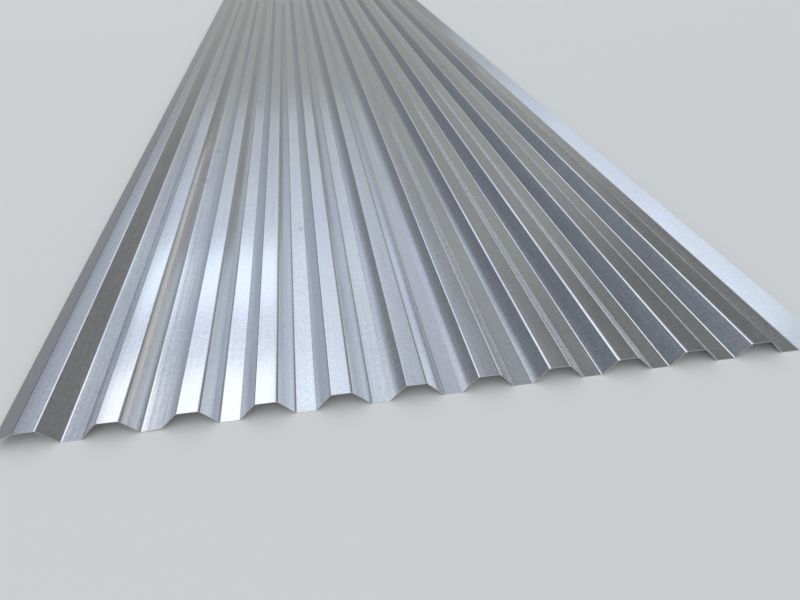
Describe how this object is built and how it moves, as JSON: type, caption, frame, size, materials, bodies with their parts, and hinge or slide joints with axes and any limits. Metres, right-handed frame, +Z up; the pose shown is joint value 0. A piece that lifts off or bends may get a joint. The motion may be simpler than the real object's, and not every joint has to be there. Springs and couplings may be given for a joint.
{
  "type": "corrugated metal sheet",
  "caption": "Thin galvanised steel sheet with flat-topped ribs along its length, a lip on one edge and a wide flange on the other for side laps; stock for roofs, walls and decks.",
  "frame": {"origin": "centre of the sheet's underside, on the plane it lies on", "axes": "+X across the ribs towards the flange edge, +Y along the ribs, +Z up out of the crests"},
  "size_m": [0.867, 3.048, 0.018],
  "materials": {
    "galvanised_steel": "bright galvanised, fine grain with faint streaks along the ribs"
  },
  "bodies": {
    "root": {"corrugated_sheet": "galvanised_steel"}
  },
  "joints": []
}
